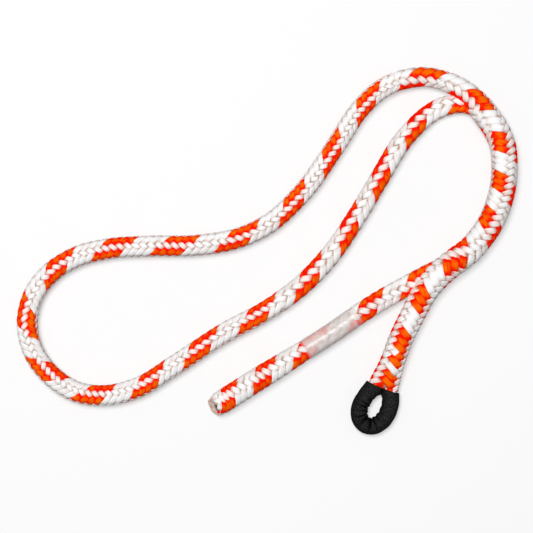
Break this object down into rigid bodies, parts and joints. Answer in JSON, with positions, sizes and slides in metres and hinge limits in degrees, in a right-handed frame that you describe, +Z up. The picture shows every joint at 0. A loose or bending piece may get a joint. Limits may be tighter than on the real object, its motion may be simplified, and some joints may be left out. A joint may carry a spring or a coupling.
{
  "type": "adjustable rope sling",
  "caption": "Adjustable rope sling of white and orange hollow braid, its tail tucked back through the body to form a sliding loop, with a small fixed eye in a black gathered sleeve.",
  "frame": {"origin": "middle of the sling's outline as it lies flat, on the surface it lies on", "axes": "+X along the length of the loop, from its far bend to the hollow body; +Y away from the fixed eye; +Z up"},
  "size_m": [0.3987, 0.2932, 0.0213],
  "materials": {
    "braided_rope": "matt braid, white with orange strands",
    "eye_fabric": "matt black woven",
    "shrink_film": "clear, glossy"
  },
  "bodies": {
    "sling": {"body_braid": "braided_rope", "splice_exit": "braided_rope", "splice_bury": "braided_rope", "splice_entry": "braided_rope", "buried_running_rope": "braided_rope", "loop_standing_leg": "braided_rope", "loop_top_reach": "braided_rope", "loop_far_bend": "braided_rope", "loop_return_reach": "braided_rope", "loop_running_leg": "braided_rope", "eye_rope": "braided_rope", "eye_buried_tail": "braided_rope", "eye_sleeve": "eye_fabric"},
    "tail": {"running_tail": "braided_rope", "tail_shrink_sleeve": "shrink_film"}
  },
  "joints": [
    {"name": "tail_slide", "type": "slide", "parent": "sling", "child": "tail", "axis": [0.8729, 0.4879, 0], "range_m": [-0.012, 0.013]}
  ]
}
